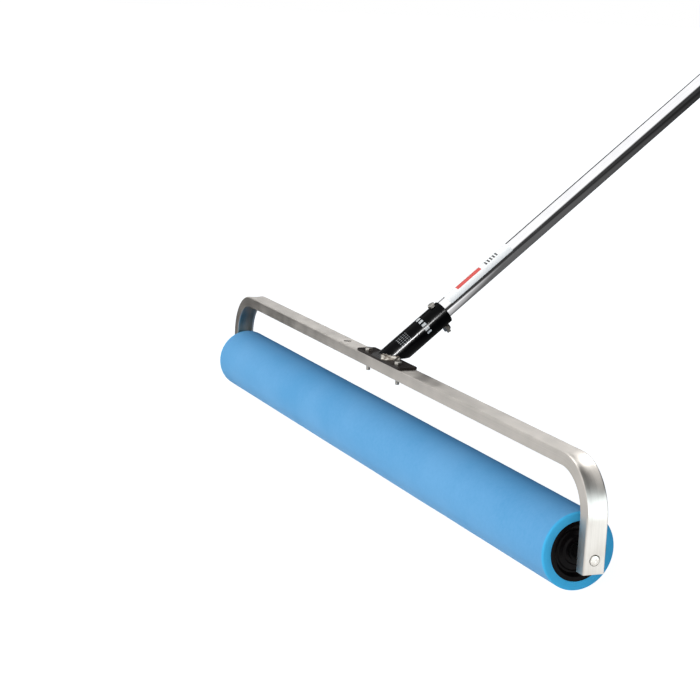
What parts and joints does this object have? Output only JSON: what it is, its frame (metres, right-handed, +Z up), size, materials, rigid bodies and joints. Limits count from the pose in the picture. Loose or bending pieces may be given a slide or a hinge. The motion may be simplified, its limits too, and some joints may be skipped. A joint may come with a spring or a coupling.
{
  "type": "long-handled foam water roller",
  "caption": "Wide smooth foam roller that spins in a bent channel frame, with a bolted socket and a long straight pole leaning back, for pushing standing water off floors.",
  "frame": {"origin": "on the floor, under the middle of the object's bounding box; the roller's axle line is level, 532 mm in front of it and 39.4 mm up", "axes": "+X along the roller, to the right of the person pushing it; +Y from the roller back towards the grip; +Z up"},
  "size_m": [0.968, 1.1424, 1.0382],
  "materials": {
    "aluminium_mill": "satin, fine lines along its length",
    "aluminium_polished": "polished",
    "steel_zinc": "zinc plated",
    "weld_metal": "rough, as welded",
    "paint_black": "gloss",
    "paint_brown_black": "satin",
    "plastic_black": "gloss",
    "nylon_black": "satin",
    "pipe_plastic": "satin",
    "foam_blue": "smooth matte foam",
    "rubber_black": "matte"
  },
  "bodies": {
    "frame": {"frame_channel": "aluminium_mill", "bracket_plate": "paint_brown_black", "handle_socket": "paint_black", "socket_weld": "weld_metal", "pole_tube": "aluminium_polished", "hand_grip": "rubber_black", "cross_bolt": "steel_zinc", "cross_lock_washer": "steel_zinc", "cross_nut": "steel_zinc", "axle_pin_left": "steel_zinc", "axle_washer_left": "steel_zinc", "axle_spacer_left": "nylon_black", "plate_bolt_left": "steel_zinc", "plate_lock_washer_left": "steel_zinc", "plate_nut_left": "steel_zinc", "axle_pin_right": "steel_zinc", "axle_washer_right": "steel_zinc", "axle_spacer_right": "nylon_black", "plate_bolt_right": "steel_zinc", "plate_lock_washer_right": "steel_zinc", "plate_nut_right": "steel_zinc"},
    "roller": {"sponge_sleeve": "foam_blue", "core_tube": "pipe_plastic", "end_cap_left": "plastic_black", "end_cap_right": "plastic_black", "bush_left": "nylon_black", "bush_right": "nylon_black"}
  },
  "joints": [
    {"name": "roller_spin", "type": "hinge", "parent": "frame", "child": "roller", "pos_m": [-0.0045, -0.53185, 0.0394], "axis": [1, 0, 0], "continuous": true}
  ]
}
